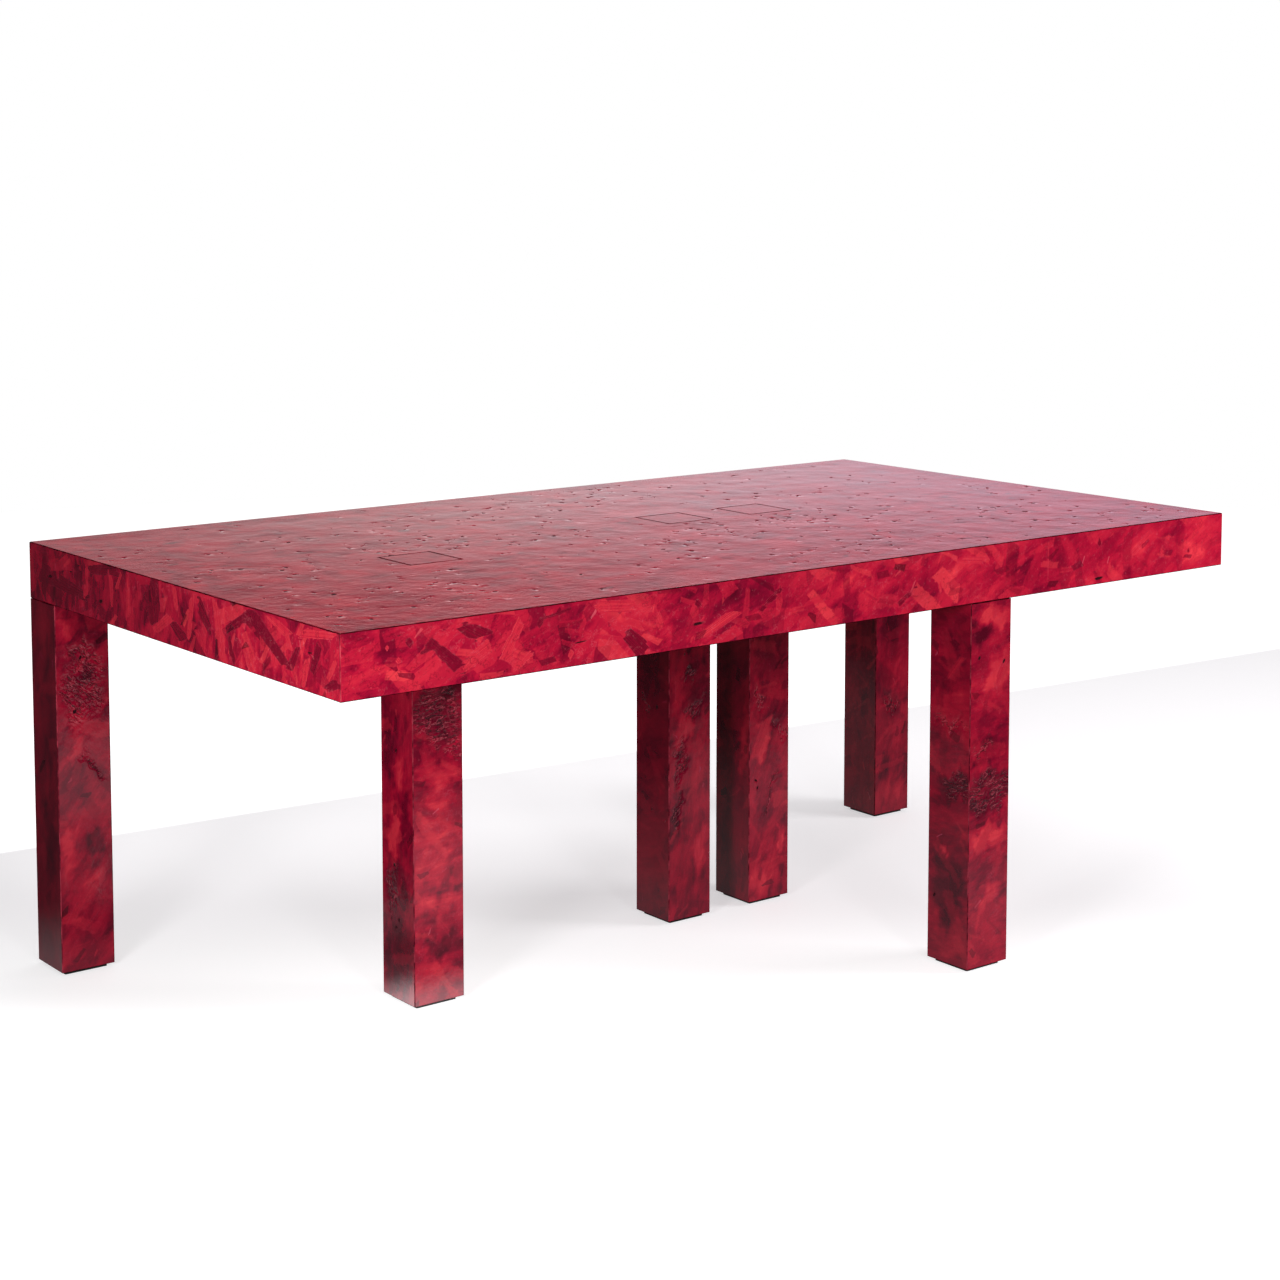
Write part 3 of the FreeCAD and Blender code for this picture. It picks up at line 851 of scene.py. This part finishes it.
SLAB = (LENGTH, WIDTH)
SLAB_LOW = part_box("bottom_panel")[0].z
top_chips = scatter_chips(7, SLAB, 860, 0.0064, 24)
top = make_board(
    "top_board", "top_panel", SLAB, (0, 0, HEIGHT), (1, 0, 0), (0, 1, 0), 1, TOP_CELL, leg_holes(1),
    top_chips, TOP_STRIP, chips=top_chips, grain=12, wave_depth=0.0004, ease=0.06,
    **{**TOP_LOOKS, "lively": top_lively})
print("top board:", len(top.data.polygons), "faces")
bottom = make_board(
    "bottom_board", "bottom_panel", SLAB, (0, 0, SLAB_LOW), (1, 0, 0), (0, -1, 0), 6, BOTTOM_CELL,
    leg_holes(-1), grain=20, wave_depth=0.0008)
print("bottom board:", len(bottom.data.polygons), "faces")

# %% Edge boards
def front_melt(places):
    """Crisp strands at the left end, clouded ones at the right."""
    return np.clip((places[:, 0] / LENGTH + 0.5) * 0.50 - 0.06, 0.04, 0.4)


def left_painted_shade(places):
    """Painted shade: full colour near the front corner, darker towards the back, where less light falls."""
    return np.clip(0.84 + places[:, 0] * 0.62, 0.48, 1)


# each strand: millimetres from the board's middle, height above the floor, half its length and
# half its width, its turn in degrees, and whether it is bright (1) or dark (-1)
FRONT_STRANDS = [
    (-789, 704, 45, 10, -41, -1), (-673, 715, 45, 10, 59, 1), (-478, 744, 45, 10, -5, 1),
    (-746, 737, 23, 12, -30, -1), (-519, 718, 22, 3, -63, -1), (-735, 700, 28, 12, 27, 1),
    (-441, 683, 32, 14, -43, -1), (-396, 714, 30, 8, -62, 1), (-276, 691, 42, 9, 24, 1),
    (-885, 722, 22, 4, -49, 1), (-626, 737, 12, 5, -58, -1), (-562, 684, 16, 6, 53, 1),
    (-657, 679, 22, 7, 39, 1), (-852, 731, 20, 6, -48, -1), (-318, 731, 22, 6, -41, -1),
    (-170, 715, 36, 6, 35, -1), (216, 706, 24, 7, -64, 1), (298, 737, 32, 7, -7, 1),
    (62, 710, 40, 1.2, 90, -1), (140, 690, 30, 6, 30, -1), (483, 710, 36, 8, 90, 1),
    (559, 712, 38, 6, 89, -1), (628, 729, 20, 6, -58, -1), (735, 722, 34, 8, 34, 1),
    (804, 714, 27, 8, 59, 1), (866, 706, 22, 6, -57, -1), (920, 718, 25, 7, 74, 1),
    (-590, 745, 26, 3, 10, -1),
]
# each patch: the same places and sizes, and last how much brighter or, below zero, darker it is
FRONT_PATCHES = [
    (-922, 700, 62, 15, 3, 0.7), (-845, 676, 52, 12, -12, 0.7), (-905, 738, 60, 12, -8, -0.3),
    (-478, 744, 60, 16, -5, 0.8), (-735, 698, 36, 20, 27, 0.6), (-380, 690, 60, 30, -40, 0.3),
    (-560, 700, 50, 24, 40, -0.3), (-230, 720, 70, 25, 20, -0.4), (10, 724, 70, 18, 2, 0.5),
    (150, 690, 80, 24, 10, -0.3), (270, 720, 90, 25, -20, 0.4), (430, 700, 60, 30, 80, -0.4),
    (600, 700, 60, 26, -60, -0.2), (720, 715, 90, 30, 25, 0.4), (890, 715, 90, 45, 70, 0.5),
    (450, 710, 600, 300, 0, 0.18), (940, 710, 110, 90, 0, 0.35),
]
LEFT_STRANDS = [
    (-238, 749, 56, 10, 8, -1), (-357, 700, 66, 12, -6, -1), (-52, 722, 34, 24, 100, -1),
    (30, 688, 26, 11, -30, -1), (122, 723, 28, 12, -42, -1), (170, 706, 48, 12, -77, 1),
    (238, 734, 48, 9, 24, -1), (326, 719, 60, 12, -31, -1), (262, 690, 32, 16, -55, 1),
    (353, 745, 30, 8, -20, 1), (397, 701, 26, 8, 54, -1), (461, 712, 26, 9, 60, -1),
    (507, 681, 18, 8, 25, -1), (468, 749, 50, 7, 6, 1), (-22, 690, 34, 9, 29, 1), (-204, 714, 30, 7, 95, 1),
    (-142, 710, 26, 8, 88, 1), (25, 738, 22, 8, 104, 1), (430, 685, 24, 8, 75, 1),
    (-470, 712, 40, 9, 85, -1), (75, 715, 34, 8, 80, 1), (205, 690, 26, 7, -70, -1),
    (-300, 722, 26, 8, 85, 1), (380, 730, 22, 7, -60, 1),
]
LEFT_PATCHES = [
    (440, 705, 130, 60, 0, 0.4), (200, 700, 120, 50, 0, 0.2), (-60, 730, 60, 40, 0, -0.5),
    (-330, 700, 140, 50, 0, -0.3),
]


front = upright_board(
    "front_board", "front_panel", (0, -1), 2, 3, 26, {"strands": FRONT_STRANDS, "patches": FRONT_PATCHES},
    grain=28, melt=front_melt, lively=0.65, cell=EDGE_CELL, ends=(PALE, DARK))
back = upright_board(
    "back_board", "back_panel", (0, 1), 3, 4, 26, grain=40, melt=0.4, glow=0.1, ends=(PALE, PALE))
left = upright_board(
    "left_board", "left_panel", (-1, 0), 4, 5, 16, {"strands": LEFT_STRANDS, "patches": LEFT_PATCHES},
    grain=86, melt=0.05, glow=-0.06, tone=left_painted_shade, scale=1.15, cell=EDGE_CELL, ends=(DARK, RUBBED))
right = upright_board(
    "right_board", "right_panel", (1, 0), 5, 6, 16, grain=80, melt=0.2, scale=0.9, ends=(PALE, PALE))
print("edge boards:", [len(b.data.polygons) for b in (front, back, left, right)])

# %% [markdown]
# ## The legs
# A leg is four boards round a post, mitred along their length. Here the dye ran together before it
# set, so the legs have wide bright and dark patches, and places where the surface is crumpled. On
# the faces that look forwards these are set out one by one, as on the real legs. The other faces
# get patches from a seeded dice.

# %% Patches on the legs
LEG_SIDES = (("front", (0, -1)), ("right", (1, 0)), ("back", (0, 1)), ("left", (-1, 0)))
LEG_CELL = 0.005
LEG_CHIPS = 8
DICED_PATCHES = 8

# patches, strands and creases are set out as on the slab, but from the face's middle line, and the
# last number of a crease is how strong it is
LEG_PATCHES = {
    "corner_leg_front": [
        (-34, 615, 30, 10, 90, 0.9), (22, 620, 45, 24, 90, -0.6), (0, 520, 34, 16, 60, -0.7),
        (-16, 415, 34, 10, 85, 0.8), (15, 350, 70, 30, -50, -0.05), (-32, 220, 58, 14, 88, 0.8),
        (22, 235, 55, 14, 50, -0.9), (0, 130, 65, 28, 55, 0.5), (20, 40, 50, 30, 90, -0.2),
    ],
    "corner_leg_left": [
        (0, 620, 50, 40, 90, 0.5), (20, 480, 120, 20, 90, -0.3), (15, 250, 90, 25, 90, -0.7),
        (0, 60, 70, 50, 90, -0.2),
    ],
    "left_leg_front": [
        (0, 505, 62, 66, 0, -0.9), (0, 402, 62, 30, 0, 0.7), (0, 350, 60, 18, 0, 0.55),
        (10, 302, 58, 15, 0, 0.3), (-15, 242, 50, 30, 30, 0.85), (10, 212, 40, 10, 20, -0.5),
        (0, 175, 62, 20, 0, 0.8), (15, 106, 45, 18, 0, -0.9), (-20, 60, 50, 26, 0, 0.5),
    ],
    "left_leg_left": [
        (0, 530, 40, 40, 90, 0.1), (-25, 445, 60, 16, 88, -0.8), (0, 388, 34, 14, 80, 0.8),
        (-12, 287, 66, 15, 86, 1.4), (30, 340, 110, 10, 90, -0.5), (0, 200, 45, 40, 90, -0.9),
        (0, 90, 90, 50, 90, -0.85),
    ],
    "middle_leg_front": [
        (-28, 446, 46, 13, 90, 1.0), (18, 450, 66, 28, 90, -0.8), (-18, 368, 32, 26, 80, 1.3),
        (-20, 312, 50, 20, 85, -0.6), (26, 300, 90, 16, 90, 0.2), (-30, 220, 46, 14, 90, -0.6),
        (26, 138, 48, 18, 85, 1.1), (-24, 150, 40, 14, 85, 0.3), (0, 50, 55, 45, 0, -0.2),
    ],
    "middle_leg_left": [
        (0, 470, 70, 40, 90, -0.5), (0, 300, 120, 45, 90, -0.2), (0, 100, 100, 45, 0, 0.2),
    ],
    "twin_leg_front": [
        (10, 480, 60, 45, 90, -0.4), (-16, 322, 48, 18, 72, 1.4), (10, 220, 80, 30, 80, -0.1),
        (30, 117, 30, 10, 90, 1.2), (-12, 42, 50, 26, 0, 0.8), (30, 420, 50, 14, 70, 0.2),
    ],
    "twin_leg_left": [
        (0, 380, 180, 60, 90, -0.3), (36, 315, 75, 13, 85, 1.3), (0, 100, 100, 60, 90, -0.1),
    ],
    "right_leg_front": [
        (0, 400, 60, 50, 90, -0.7), (5, 315, 50, 22, 65, 0.5), (0, 250, 34, 34, 0, -0.5),
        (5, 180, 60, 30, 75, 0.3), (-25, 106, 30, 16, 90, -0.6), (0, 50, 60, 26, 0, 0.7),
    ],
    "right_leg_left": [(0, 330, 330, 60, 90, -0.3)],
    "front_leg_front": [
        (15, 632, 48, 20, 0, 1.2), (-30, 610, 30, 20, 90, -0.6), (20, 530, 52, 26, 60, 1.2),
        (-20, 395, 50, 26, 5, -0.4), (0, 321, 62, 46, 5, -0.8), (10, 240, 55, 24, 5, 1.2),
        (38, 170, 40, 10, 90, -0.8), (-10, 175, 50, 18, 10, -0.3), (-10, 117, 50, 14, 50, 1.0),
        (0, 40, 60, 30, 0, 0.2),
    ],
    "front_leg_left": [
        (0, 605, 60, 50, 90, -0.4), (0, 465, 62, 36, 0, 0.5), (0, 393, 60, 26, 0, -0.3),
        (20, 330, 50, 28, 20, -0.8), (0, 138, 70, 40, 85, -1.2), (-6, 213, 10, 8, 0, 1.8),
        (0, 40, 60, 26, 0, 0.3),
    ],
}
LEG_STRANDS = {
    "front_leg_left": [(11, 540, 31, 7, 52, 1)],
    "corner_leg_front": [
        (-8, 128, 40, 6, 54, 1), (20, 150, 28, 5, 50, 1), (-28, 108, 24, 5, 62, 1), (8, 96, 26, 4, 48, 1),
    ],
    "left_leg_left": [(14, 476, 14, 1.6, 86, 1), (-14, 192, 24, 1.6, -62, 1), (10, 205, 26, 1.6, 84, 1)],
    "twin_leg_front": [(-20, 325, 42, 12, 66, 1), (30, 117, 22, 6, 90, 1)],
    "middle_leg_front": [(28, 140, 30, 6, 84, 1), (-28, 446, 34, 7, 90, 1), (16, 130, 26, 5, 96, 1)],
    "front_leg_front": [(24, 228, 26, 7, 8, 1), (28, 535, 30, 8, 62, 1)],
    "left_leg_front": [(-10, 250, 30, 4, 40, 1), (12, 236, 26, 4, 25, 1), (6, 262, 24, 3, -10, 1)],
    "right_leg_front": [(8, 180, 44, 3, 70, 1), (22, 170, 40, 3, 80, 1), (-6, 178, 36, 3, 60, 1)],
}
LEG_CREASES = {
    "corner_leg_front": [
        (0, 515, 80, 48, 85, 1.4), (5, 575, 40, 12, -25, 1.5), (15, 370, 44, 8, -50, 1.0),
    ],
    "left_leg_front": [(0, 500, 62, 60, 0, 1.4), (35, 440, 30, 20, 80, 1.2)],
    "left_leg_left": [(-20, 195, 50, 18, 90, 0.9)],
    "middle_leg_front": [
        (4, 468, 22, 12, 40, 1.4), (12, 405, 34, 14, 50, 1.4), (-22, 312, 50, 20, 85, 1.4),
        (-30, 220, 46, 12, 88, 1.1),
    ],
    "middle_leg_left": [(-25, 408, 30, 12, -60, 1.0)],
    "twin_leg_front": [
        (-28, 398, 26, 12, 80, 1.4), (30, 332, 28, 14, -30, 1.4), (4, 215, 70, 12, 66, 0.8),
    ],
    "right_leg_front": [(-5, 246, 34, 24, 20, 1.1)],
    "front_leg_front": [(0, 321, 70, 46, 5, 1.4), (-20, 400, 40, 14, 10, 1.0)],
    "front_leg_left": [(24, 330, 44, 32, 20, 1.3), (0, 440, 60, 14, 0, 0.8)],
}
# for each leg: how much of its full colour its front, right, back and left face shows, partly the leg's own
# darker dye and partly painted shade on faces that lie under the slab or turn from the light, which way the
# brushed dye runs on the front and back, and on the other two, and how lively those two are
LEG_LOOKS = {
    "corner_leg": ((0.58, 0.6, 0.7, 0.25), 52, 88, 0.5),
    "left_leg": ((0.88, 0.6, 0.7, 0.66), 5, 87, 1.0),
    "middle_leg": ((0.53, 0.6, 0.7, 0.33), 82, 20, 0.5),
    "twin_leg": ((0.64, 0.6, 0.7, 0.42), 68, 88, 0.5),
    "right_leg": ((0.48, 0.7, 0.7, 0.86), 76, 88, 0.3),
    "front_leg": ((0.76, 0.7, 0.7, 0.57), 12, 6, 0.8),
}
# how far the creases run across the brushed dye, in degrees
LEG_FOLDS = {"corner_leg_front": 87, "middle_leg_front": 37}
# how far the strands have run together on each face
LEG_MELT = {"front": 0.50, "left": 0.55, "right": 0.50, "back": 0.50}
# the arris at a face's left and right edge, where it isn't rubbed
LEG_ENDS = {"front": (RUBBED, DARK), "left": (DARK, RUBBED)}


def diced_patches(seed, tall):
    """Bright and dark patches for a face that the picture doesn't show."""
    dice = random.Random(seed)
    found = []
    for step in range(DICED_PATCHES):
        height = (step + 0.5) / DICED_PATCHES * tall * 1000 + dice.uniform(-30, 30)
        amount = dice.choice((-1, 1)) * dice.uniform(0.4, 0.9)
        across, long, wide = dice.uniform(-30, 30), dice.uniform(40, 80), dice.uniform(14, 30)
        found.append((across, height, long, wide, dice.gauss(80, 30), amount))
    return found


# %% Leg boards
leg_count = 0
for leg_name, (face_tones_and_shades, front_grain, side_grain, side_lively) in LEG_LOOKS.items():
    for (side_name, way_out), tone in zip(LEG_SIDES, face_tones_and_shades):
        node = f"{leg_name}_{side_name}"
        corner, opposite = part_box(node)
        front_or_back = side_name in ("front", "back")
        marks = {
            "patches": LEG_PATCHES.get(node) or diced_patches(60 + leg_count, opposite.z - corner.z),
            "creases": LEG_CREASES.get(node, []),
            "strands": LEG_STRANDS.get(node, []),
        }
        upright_board(
            node + "_board", node, way_out, 10 + leg_count, 20 + leg_count, LEG_CHIPS, marks, cell=LEG_CELL,
            mitre=(True, False), ends=LEG_ENDS.get(side_name, (RUBBED, RUBBED)), melt=LEG_MELT[side_name],
            tone=tone, fold_turn=LEG_FOLDS.get(node, 0),
            grain=front_grain if front_or_back else side_grain,
            lively=1.0 if front_or_back else side_lively)
        leg_count += 1
print(leg_count, "leg boards")

# %% Leg ends in the top
LEG_WIDTH = 0.100
for number, leg_name in enumerate(THROUGH_LEGS):
    centre = leg_middle(leg_name)
    make_board(
        leg_name + "_end", leg_name + "_cap", (LEG_WIDTH, LEG_WIDTH), (centre.x, centre.y, HEIGHT),
        (1, 0, 0), (0, 1, 0), 40 + number, mitre=(False, False), strip=FINE_STRIP, grain=30 * number,
        wave_depth=0, **TOP_LOOKS)
print("leg ends ready")

# %% [markdown]
# ## What stays from the CAD model
# The pads, ribs, sockets, posts and screws have the right shape already. They keep it, and get a
# rubber, timber or steel made of nodes.

# %% Rubber, timber and steel
def make_rubber():
    paint = new_paint("foot_rubber", Roughness=0.7)
    wear = paint.noise(paint.place(), 40.0, 3.0)
    colour = paint.mix(wear.rise(0.4, 0.7), (0.012, 0.012, 0.012), (0.03, 0.028, 0.027))
    return paint.finish(Base_Color=colour, Normal=paint.bump(paint.noise(paint.place(), 900.0), 0.3, 0.0002))


def make_timber():
    paint = new_paint("inner_timber", Roughness=0.65)
    drawn = paint.vector("MULTIPLY", paint.place(), (4.0, 60.0, 60.0))
    rings = paint.noise(drawn, 1.0, 4.0, 0.6)
    colour = paint.mix(rings.rise(0.35, 0.65), (0.42, 0.27, 0.14), (0.66, 0.49, 0.30))
    return paint.finish(Base_Color=colour, Normal=paint.bump(rings, 0.2, 0.0004))


def make_steel():
    paint = new_paint("zinc_steel", Metallic=1.0)
    brushed = paint.noise(paint.place(), 600.0)
    colour = paint.mix(brushed, (0.48, 0.49, 0.50), (0.66, 0.66, 0.67))
    return paint.finish(Base_Color=colour, Roughness=brushed * 0.2 + 0.25)


rubber, timber, steel = make_rubber(), make_timber(), make_steel()
for name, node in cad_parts.items():
    if node.hide_render:
        continue
    finish = rubber if name.endswith("_pad") else steel if name.endswith("_screws") else timber
    node.data.materials.clear()
    node.data.materials.append(finish)
print("CAD nodes dressed")

# %% [markdown]
# ## Floor, background and light
# The picture has a white background and a floor that is white but for soft shadows. The lacquer
# mirrors what is round it, so what it mirrors matters: a bright wall low behind the table makes
# the top pale at the far side, and a dim room in front keeps the front boards a full red.

# %% Floor
FLOOR_REACH = 6.0


def make_floor_paint():
    """White to the camera but for soft shadows and painted shade, and to the lacquer that mirrors it nearly
    black but for a dim painted reflection.
    """
    paint = new_paint("pale_floor", Roughness=0.6, Emission_Strength=1.0)
    seen, mirrored = paint.ray("Camera"), paint.ray("Glossy")
    x, y = paint.parts(paint.place())[:2]
    far = paint.distance(paint.place(), (0, 0, 0))
    nearest = FLOOR_REACH
    for leg_name in LEG_LOOKS:
        foot = leg_middle(leg_name)
        nearest = paint.distance(paint.place(), (foot.x, foot.y, 0)).at_most(nearest)
    colour = paint.mix(seen, (0.28, 0.28, 0.28), (0.50, 0.49, 0.50))
    # to glossy rays the floor itself is all but black, so the lacquer mirrors only the painted reflection
    # below
    colour = paint.mix(mirrored, colour, (0.004, 0.004, 0.004))

    # what the camera sees is the floor's glow, with painted shade: grey round the table where its shade
    # falls, greyer still out to the left further back, and paler towards the front left; past a straight
    # line behind the table, and far out, it is as white as the background
    towards = x * 0.613 + y * 0.79
    painted_floor_light = paint.mix(towards.rise(-0.40, 0.25), (0.84, 0.84, 0.84), (0.56, 0.55, 0.56))
    painted_floor_light = paint.mix(x.rise(-1.15, -0.35), paint.stretch(painted_floor_light, 0.76), painted_floor_light)
    painted_floor_light = paint.mix(towards.rise(-0.66, -0.30), (1, 1, 1), painted_floor_light)
    beyond = (y + x * 0.075).rise(1.165, 1.185).at_least(far.rise(3.5, 5.5))
    painted_floor_light = paint.mix(beyond, painted_floor_light, (1, 1, 1))

    # painted reflection: the floor glows to glossy rays alone, so the lacquer mirrors a pale glow near the
    # feet and a bright stripe in front of the left leg, which only that leg's foot mirrors
    wide = (x - y.rise(-0.5, 0.1) * 0.35).rise(-1.1, -0.3) * (1 - y.rise(-0.6, -0.2) * 0.5)
    wide = wide * (y + 1.6).rise(0.0, 0.8) * (1 - far.rise(1.0, 2.2))
    pale = (1 - x.rise(-0.2, 0.25)) * (1 - y.rise(-0.65, -0.40)) * (y + 1.6).rise(0.0, 0.6)
    across = x * 0.91 + y * 0.41
    painted_reflection_stripe = across.rise(-0.62, -0.565) * (1 - across.rise(-0.44, -0.28))
    painted_reflection_stripe = painted_reflection_stripe * y.rise(-0.26, -0.12) * (1 - y.rise(-0.06, 0.10))
    near = 1 - nearest.rise(0.05, 0.45)
    painted_reflection = (0.003, 0.003, 0.003)
    for amount, brighter in ((wide, (0.31, 0.30, 0.31)), (pale, (0.60, 0.58, 0.60)),
                             (near, (0.23, 0.22, 0.225)), (painted_reflection_stripe, (2.5, 2.3, 2.36))):
        painted_reflection = paint.mix(amount, painted_reflection, brighter)
    glow = paint.mix(seen, paint.mix(mirrored, (0, 0, 0), painted_reflection), painted_floor_light)
    return paint.finish(Base_Color=colour, Emission_Color=glow)


bpy.ops.object.select_all(action="DESELECT")
bpy.ops.mesh.primitive_circle_add(vertices=96, radius=FLOOR_REACH, fill_type="NGON", location=(0, 0, 0))
floor = bpy.context.active_object
floor.name = "floor"
floor.data.materials.append(make_floor_paint())
print("floor ready")

# %% World
BRIGHT_WALL = 1.17
DIM_ROOM = 0.009
HIGH_GLOW = 0.7
ROOM_LIGHT = 0.14

world = bpy.data.worlds.new("studio")
bpy.context.scene.world = world
studio = Paint(world)
to_right, to_back, up = studio.parts(studio.node("ShaderNodeTexCoord").outputs["Generated"])
glossy = studio.ray("Glossy")
wall = up.rise(0.197, 0.085) * to_back.rise(0.1, 0.9) * to_right.rise(0.20, 0.63)
mirrored = wall * BRIGHT_WALL + DIM_ROOM + up.rise(0.4, 0.7) * HIGH_GLOW
clear = studio.ray("Camera").at_least(studio.ray("Transmission"))
shown = (mirrored * glossy + (1 - glossy) * ROOM_LIGHT).at_least(clear)
# the wall at the right is a little bluer
tint = studio.mix(to_right.rise(0.5, 0.8) * glossy, (1, 1, 1), (1, 0.93, 1.16))
studio.finish(Color=tint, Strength=shown)
print("world ready")

# %% Lamps
def soft_lamp(name, place, target, size, power):
    """A square soft box that looks at a point."""
    data = bpy.data.lights.new(name, "AREA")
    data.shape = "SQUARE"
    data.size = size
    data.energy = power
    lamp = bpy.data.objects.new(name, data)
    lamp.location = place
    lamp.rotation_euler = (Vector(target) - Vector(place)).to_track_quat("-Z", "Y").to_euler()
    bpy.context.scene.collection.objects.link(lamp)
    lamp.visible_glossy = False
    return lamp


soft_lamp("front_light", (-1.6, -5.2, 2.0), (0, 0, 0.4), 0.8, 76)
soft_lamp("right_light", (3.4, -2.4, 1.9), (0.2, 0, 0.4), 1.7, 140)
soft_lamp("side_light", (-3.1, -1.6, 1.2), (-0.6, -0.1, 0.5), 0.7, 72)
soft_lamp("over_light", (0.2, 0.2, 3.2), (0, 0, 0), 2.4, 55)
print("lamps ready")
